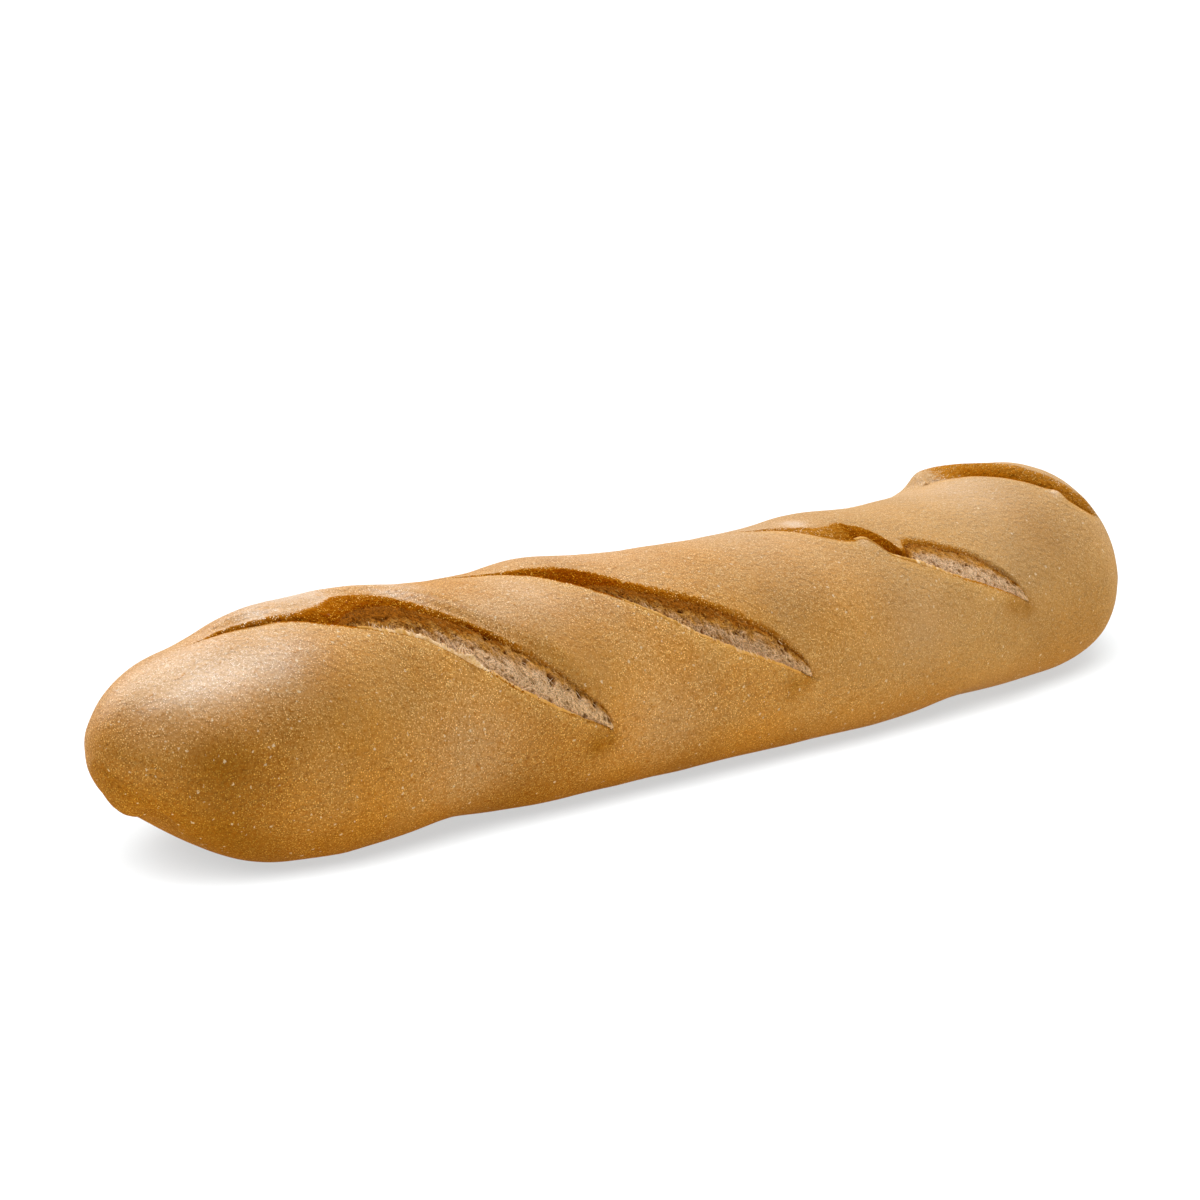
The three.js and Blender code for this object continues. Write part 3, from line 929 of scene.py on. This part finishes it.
def grain_group():
    """Sandy grain: a tone about 0.5 and a height."""
    group, given, result = new_group("sandy_grain", ["Fineness"], ["Tone", "Height"])
    place = given.outputs["Place"]
    fineness = given.outputs["Fineness"]
    grains = put(group, "TexVoronoi", {"Vector": place, "Scale": fineness})
    chance = put(group, "SeparateColor", {0: grains.outputs["Color"]}).outputs[0]
    clumps = clouds(group, place, times(group, fineness, 0.7), 2.0, 0.6)
    dome = minus(group, 1.0, grains.outputs["Distance"])
    bright = ramp(group, times(group, dome, times(group, chance, 0.5, 0.5)), 0.4, 0.8)
    tone = times(group, clumps, 0.6, times(group, bright, 0.9, 0.12))
    group.links.new(tone, result.inputs["Tone"])
    group.links.new(times(group, clumps, 0.8, bright), result.inputs["Height"])
    return group


def specks_group():
    """Small scattered specks: a mask."""
    group, given, result = new_group("specks", ["Fineness", "Amount"], ["Mask"])
    place = given.outputs["Place"]
    wobble = put(group, "TexNoise", {"Vector": place, "Scale": 1500.0})
    shift = put(group, "VectorMath", {0: wobble.outputs["Color"], 1: (0.5, 0.5, 0.5)},
                operation="SUBTRACT")
    bent = put(group, "VectorMath",
               {0: shift.outputs[0], 1: (SPECK_WOBBLE, SPECK_WOBBLE, SPECK_WOBBLE), 2: place},
               operation="MULTIPLY_ADD")
    cell = put(group, "TexVoronoi",
               {"Vector": bent.outputs[0], "Scale": given.outputs["Fineness"]})
    chance = put(group, "SeparateColor", {0: cell.outputs["Color"]})
    reach = times(group, chance.outputs[1], 0.3)
    near = ramp(group, minus(group, reach, cell.outputs["Distance"]), -0.05, 0.08)
    chosen = math_node(group, "LESS_THAN", chance.outputs[0], given.outputs["Amount"])
    group.links.new(times(group, near, chosen), result.inputs["Mask"])
    return group


TAN = (0.585, 0.29, 0.069, 1)
GOLDEN = (0.59, 0.268, 0.044, 1)
DULL = (0.57, 0.325, 0.12, 1)
# Paler, floury crust, also used for painted highlights.
PALE_AND_HIGHLIGHT = (0.70, 0.46, 0.265, 1)
# Toasted crust, also used for painted shade.
TOASTED_AND_SHADED = (0.35, 0.135, 0.008, 1)
LIP_GOLD = (0.74, 0.40, 0.11, 1)
AMBER = (0.50, 0.20, 0.02, 1)
BAND = (0.36, 0.11, 0.003, 1)
# The band's darkest brown, reached partly through painted shade deep in the hollow.
BAND_DARKEST_AND_SHADED = (0.235, 0.05, 0.0007, 1)
FLOUR = (0.86, 0.68, 0.46, 1)
CRUMB = (0.80, 0.545, 0.345, 1)
CRUMB_SHADE = (0.34, 0.175, 0.06, 1)
CRUMB_BROWN = (0.55, 0.25, 0.04, 1)
BROWN_SHADE = (0.19, 0.055, 0.001, 1)
CREAM = (0.95, 0.72, 0.48, 1)
GRAIN_LIGHT = (1.3, 1.95, 3.2)  # how strongly the grain shows in red, green and blue
GRAIN_FINENESS = 2500.0  # of the crust's grain, for each metre
SPECK_FINENESS = 800.0
SPECK_WOBBLE = 0.0011  # how far a speck's edge wanders, in metres
BUMP_HEIGHT = 0.00035


def crust_material(grain, specks):
    material, tree = new_material("crust")
    place = put(tree, "TexCoord").outputs["Object"]
    band, gold, toast_and_shade, pale_and_highlight, dim, dull, flour = [
        painted(tree, name) for name in ("band", "gold", "toast_and_shade", "pale_and_highlight", "dim", "dull", "flour")]
    sand = put(tree, "Group", {"Place": place, "Fineness": GRAIN_FINENESS},
               node_tree=grain)
    patches = clouds(tree, place, 70.0, 3.0)
    flecks = clouds(tree, place, 700.0, 2.0)

    sandy = minus(tree, sand.outputs["Tone"], 0.5)
    coarse = times(tree, dull, -0.6, 1.25)
    fuzz = times(tree, coarse, times(tree, sandy, -0.8, minus(tree, flecks, 0.5)))
    edge = times(tree, fuzz, 0.6, band)
    colour = mix(tree, ramp(tree, patches, 0.38, 0.62), TAN, GOLDEN)
    # Paler crust and painted highlights, toasted crust and painted shade, and the band, darkest
    # where painted shade lies deep in the hollow.
    for amount, over in ((times(tree, dull, 0.85), DULL), (pale_and_highlight, PALE_AND_HIGHLIGHT), (toast_and_shade, TOASTED_AND_SHADED),
                         (gold, LIP_GOLD), (ramp(tree, edge, 0.08, 0.4), AMBER),
                         (ramp(tree, edge, 0.35, 0.8), BAND),
                         (ramp(tree, edge, 0.75, 1.15), BAND_DARKEST_AND_SHADED)):
        colour = mix(tree, amount, colour, over)
    shade = times(tree, dim, -0.25, times(tree, clouds(tree, place, 42.0, 2.0), 0.45, 0.805))
    bare = times(tree, times(tree, pale_and_highlight, -0.6, 1.0), times(tree, dim, -0.6, 1.0))
    grit = times(tree, times(tree, sandy, coarse), bare)
    light = put(tree, "CombineColor",
                {k: times(tree, grit, strength, shade) for k, strength in enumerate(GRAIN_LIGHT)})
    colour = mix(tree, 1.0, colour, light.outputs[0], "MULTIPLY")
    amount = times(tree, flour, 0.45, 0.15)
    few = put(tree, "Group",
              {"Place": place, "Fineness": SPECK_FINENESS, "Amount": amount}, node_tree=specks)
    floury = times(tree, few.outputs["Mask"], minus(tree, 1.0, band))
    colour = mix(tree, times(tree, floury, 0.75), colour, FLOUR)
    crusty = times(tree, minus(tree, 1.0, ramp(tree, edge, 0.1, 0.4)), minus(tree, 1.0, toast_and_shade))
    gloss = times(tree, crusty, times(tree, pale_and_highlight, 0.8, 0.35))
    gloss = times(tree, gloss, times(tree, sandy, 1.4, 1.0))
    uneven = times(tree, flecks, 4.4, sand.outputs["Height"])
    bump = put(tree, "Bump",
               {"Strength": 0.8, "Distance": BUMP_HEIGHT, "Height": uneven})
    add_surface(tree, {"Base Color": colour, "Roughness": 0.7, "Specular IOR Level": 0.0,
                       "Normal": bump.outputs[0], "Coat Weight": gloss,
                       "Coat Roughness": 0.33, "Coat IOR": 1.5})
    return material


def crumb_material():
    material, tree = new_material("crumb")
    deep_shade = painted(tree, "deep_shade")
    tint = painted(tree, "tint")
    place = put(tree, "TexCoord").outputs["Object"]
    browned = ramp(tree, tint, 0.05, 0.9)
    colour = mix(tree, browned, CRUMB, CRUMB_BROWN)
    colour = mix(tree, ramp(tree, tint, 0.8, 1.15), colour, BAND)
    # Painted shade in the pores and between the strands.
    colour = mix(tree, deep_shade, colour, mix(tree, browned, CRUMB_SHADE, BROWN_SHADE))
    tone = times(tree, clouds(tree, place, 4200.0, 1.0), 2.2, -0.1)
    light = put(tree, "CombineColor", {0: tone, 1: tone, 2: tone})
    colour = mix(tree, 1.0, colour, light.outputs[0], "MULTIPLY")
    add_surface(tree, {"Base Color": colour, "Roughness": 0.9, "Specular IOR Level": 0.1})
    return material


def torn_material():
    material, tree = new_material("torn_crumb")
    golden = painted(tree, "golden")
    place = put(tree, "TexCoord").outputs["Object"]
    fine = clouds(tree, place, 2500.0, 1.0)
    colour = mix(tree, ramp(tree, golden, 0.0, 0.8), CREAM, LIP_GOLD)
    colour = mix(tree, ramp(tree, golden, 0.7, 1.2), colour, CRUMB_BROWN)
    colour = mix(tree, ramp(tree, fine, 0.5, 0.75), colour, LIP_GOLD)
    add_surface(tree, {"Base Color": colour, "Roughness": 0.85, "Specular IOR Level": 0.1})
    return material


# ---- Camera, floor and lights ----
def direction(turn, rise):
    """Towards a place this far round from -Y and this far up, in degrees."""
    turn = math.radians(turn)
    rise = math.radians(rise)
    return Vector((math.sin(turn) * math.cos(rise), -math.cos(turn) * math.cos(rise),
                   math.sin(rise)))


def make_camera():
    back = direction(CAMERA_TURN, CAMERA_RISE)
    right = direction(CAMERA_TURN + 90, 0)
    aim = (right * CAMERA_AIM[0] + back.cross(right) * CAMERA_AIM[1]
           + Vector((0, -CENTRE_Y, -SOLE_SINK)))
    bpy.ops.object.camera_add(location=(aim + back * CAMERA_AWAY) * MM,
                              rotation=(-back).to_track_quat("-Z", "Y").to_euler())
    camera = bpy.context.object
    camera.name = "camera"
    camera.data.lens = CAMERA_LENS
    camera.data.clip_end = STUDIO_REACH * 5
    bpy.context.scene.camera = camera


def shining_stage(name, colour, glow, strength):
    """Names the new object and gives it a plain material that shines a little; it casts no shadow.
    """
    stage = bpy.context.object
    stage.name = name
    material, tree = new_material(name)
    add_surface(tree, {"Base Color": (*colour, 1), "Roughness": 0.95,
                       "Emission Color": (*glow, 1), "Emission Strength": strength})
    stage.data.materials.append(material)
    stage.visible_shadow = False
    return stage


def make_backdrop():
    """A white dome round the floor that only the camera sees."""
    bpy.ops.mesh.primitive_uv_sphere_add(segments=64, ring_count=32, radius=STUDIO_REACH)
    dome = shining_stage("backdrop", (0, 0, 0), (1, 1, 1), 1.0)
    dome.visible_diffuse = False
    dome.visible_glossy = False


def make_floor():
    """A white floor, and a warm card under it that lights the loaf in the floor's place."""
    bpy.ops.mesh.primitive_plane_add(size=STUDIO_REACH * 2)
    floor = shining_stage("floor", (0.2, 0.2, 0.2), (0.94, 0.985, 1.0), 0.585)
    floor.visible_diffuse = False
    floor.visible_glossy = False
    bpy.ops.mesh.primitive_plane_add(size=STUDIO_REACH * 2, location=(0, 0, -0.5 * MM))
    card = shining_stage("warm_card", (0.76, 0.70, 0.50), (1.0, 0.94, 0.71), 0.47)
    card.visible_camera = False
    card.visible_glossy = False
    return floor


def light_group(name, floor, state):
    """What a lamp shines on: the floor alone, or all but the floor."""
    group = bpy.data.collections.new(name)
    group.objects.link(floor)
    group.collection_objects[0].light_linking.link_state = state
    return group


def add_soft_light(name, turn, rise, strength, spread, colour, lit):
    """A far, broad lamp."""
    toward = direction(turn, rise)
    bpy.ops.object.light_add(type="SUN", location=toward,
                             rotation=(-toward).to_track_quat("-Z", "Y").to_euler())
    light = bpy.context.object
    light.name = name
    light.data.energy = strength
    light.data.angle = math.radians(spread)
    light.data.color = colour
    light.light_linking.receiver_collection = lit


def light_scene(floor):
    scene = bpy.context.scene
    scene.view_settings.view_transform = "Standard"
    scene.view_settings.look = "None"
    world = bpy.data.worlds.new("studio")
    world.use_nodes = True
    sky = world.node_tree
    background = sky.nodes["Background"]
    background.inputs["Color"].default_value = (1, 1, 1, 1)
    toward = put(sky, "TexCoord").outputs["Generated"]
    facing = put(sky, "VectorMath", {0: toward, 1: SKY_TOWARD},
                 operation="DOT_PRODUCT")
    glow = put(sky, "MapRange",
               {"Value": facing.outputs["Value"], "From Min": SKY_FROM, "From Max": 1.0,
                "To Min": SKY_DARK, "To Max": SKY_BRIGHT}, interpolation_type="SMOOTHSTEP")
    sky.links.new(glow.outputs["Result"], background.inputs["Strength"])
    scene.world = world
    loaf = light_group("all_but_floor", floor, "EXCLUDE")
    table = light_group("floor_alone", floor, "INCLUDE")
    for lamp in LAMPS:
        add_soft_light(*lamp, loaf)
    add_soft_light(*FLOOR_LAMP, table)


make_camera()
make_backdrop()
light_scene(make_floor())
crust = crust_material(grain_group(), specks_group())
make_crust(crust)
crumb = crumb_material()
torn = torn_material()
for k in range(3):
    make_crumb(k, crumb)
    make_torn_lip(k, torn)
make_threads(torn)
